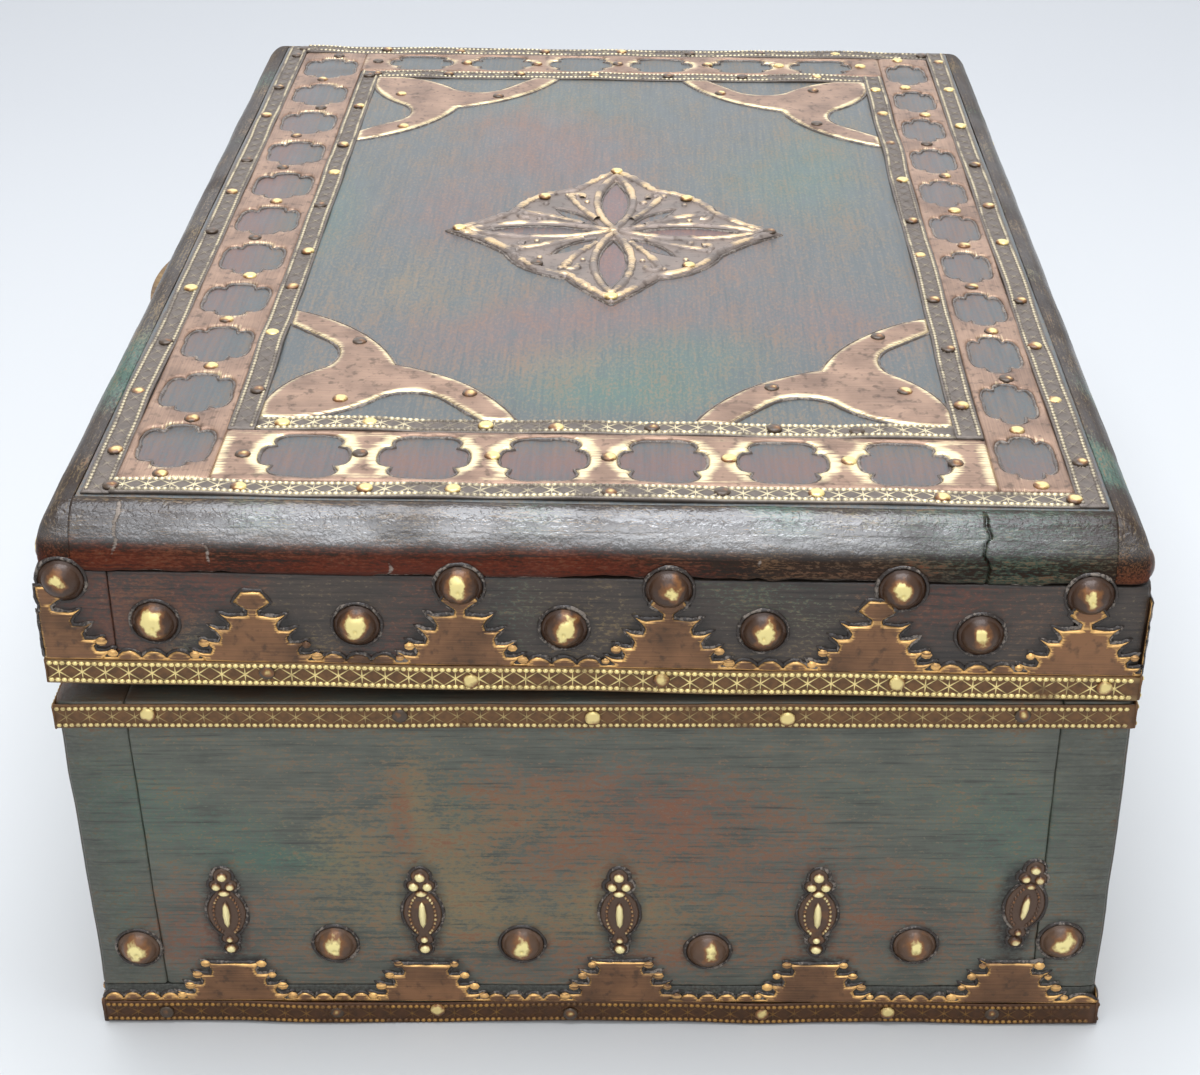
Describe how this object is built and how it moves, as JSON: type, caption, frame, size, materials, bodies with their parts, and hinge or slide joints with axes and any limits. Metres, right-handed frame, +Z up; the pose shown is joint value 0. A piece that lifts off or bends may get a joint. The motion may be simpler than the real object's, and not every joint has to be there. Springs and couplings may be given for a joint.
{
  "type": "storage box",
  "caption": "Rectangular wooden storage box with a hinged lid, rounded lid edging, embossed brass strips, pierced brass plates, domed nails and a hasp.",
  "frame": {"origin": "middle of the underside of the bottom board", "axes": "+X along the length towards the pictured end, -Y towards the front with the hasp, +Z up"},
  "size_m": [0.318, 0.2452, 0.1364],
  "materials": {
    "painted_wood": "rubbed green and red paint under shellac",
    "embossed_brass": "embossed, tarnished, bright where rubbed",
    "pierced_brass": "tarnished sheet with bright edges",
    "domed_brass": "tarnished rim, bright worn crown",
    "cut_iron": "dark forged iron",
    "hardware_brass": "dull tarnished"
  },
  "bodies": {
    "case": {"bottom_board": "painted_wood", "case_front_board": "painted_wood", "case_back_board": "painted_wood", "case_left_board": "painted_wood", "case_right_board": "painted_wood", "case_front_top_strip": "embossed_brass", "case_back_top_strip": "embossed_brass", "case_left_top_strip": "embossed_brass", "case_right_top_strip": "embossed_brass", "case_front_base_strip": "embossed_brass", "case_back_base_strip": "embossed_brass", "case_left_base_strip": "embossed_brass", "case_right_base_strip": "embossed_brass", "case_front_cresting": "pierced_brass", "case_back_cresting": "pierced_brass", "case_left_cresting": "pierced_brass", "case_right_cresting": "pierced_brass", "case_finials": "pierced_brass", "case_dome_nails": "domed_brass", "case_board_nails": "cut_iron", "hasp_staple": "hardware_brass", "hinge_left_case_leaf": "hardware_brass", "hinge_right_case_leaf": "hardware_brass", "hinge_pins": "hardware_brass"},
    "lid": {"lid_panel": "painted_wood", "lid_front_rim": "painted_wood", "lid_back_rim": "painted_wood", "lid_left_rim": "painted_wood", "lid_right_rim": "painted_wood", "lid_front_edging": "painted_wood", "lid_back_edging": "painted_wood", "lid_left_edging": "painted_wood", "lid_right_edging": "painted_wood", "lid_front_rim_strip": "embossed_brass", "lid_back_rim_strip": "embossed_brass", "lid_left_rim_strip": "embossed_brass", "lid_right_rim_strip": "embossed_brass", "lid_front_outer_strip": "embossed_brass", "lid_back_outer_strip": "embossed_brass", "lid_left_outer_strip": "embossed_brass", "lid_right_outer_strip": "embossed_brass", "lid_front_inner_strip": "embossed_brass", "lid_back_inner_strip": "embossed_brass", "lid_left_inner_strip": "embossed_brass", "lid_right_inner_strip": "embossed_brass", "lid_front_cresting": "pierced_brass", "lid_back_cresting": "pierced_brass", "lid_left_cresting": "pierced_brass", "lid_right_cresting": "pierced_brass", "lid_border_frets": "pierced_brass", "lid_corner_plates": "pierced_brass", "lid_medallion": "pierced_brass", "lid_dome_nails": "domed_brass", "lid_board_nails": "cut_iron", "hinge_left_lid_leaf": "hardware_brass", "hinge_right_lid_leaf": "hardware_brass", "hasp_plate": "hardware_brass", "hasp_pin": "hardware_brass"},
    "hasp": {"hasp": "hardware_brass"}
  },
  "joints": [
    {"name": "lid_hinge", "type": "hinge", "parent": "case", "child": "lid", "pos_m": [0, 0.1162, 0.09], "axis": [-1, 0, 0], "range_deg": [0, 100]},
    {"name": "hasp_hinge", "type": "hinge", "parent": "lid", "child": "hasp", "pos_m": [0, -0.11567, 0.11786], "axis": [-1, 0, 0], "range_deg": [0, 90]}
  ]
}
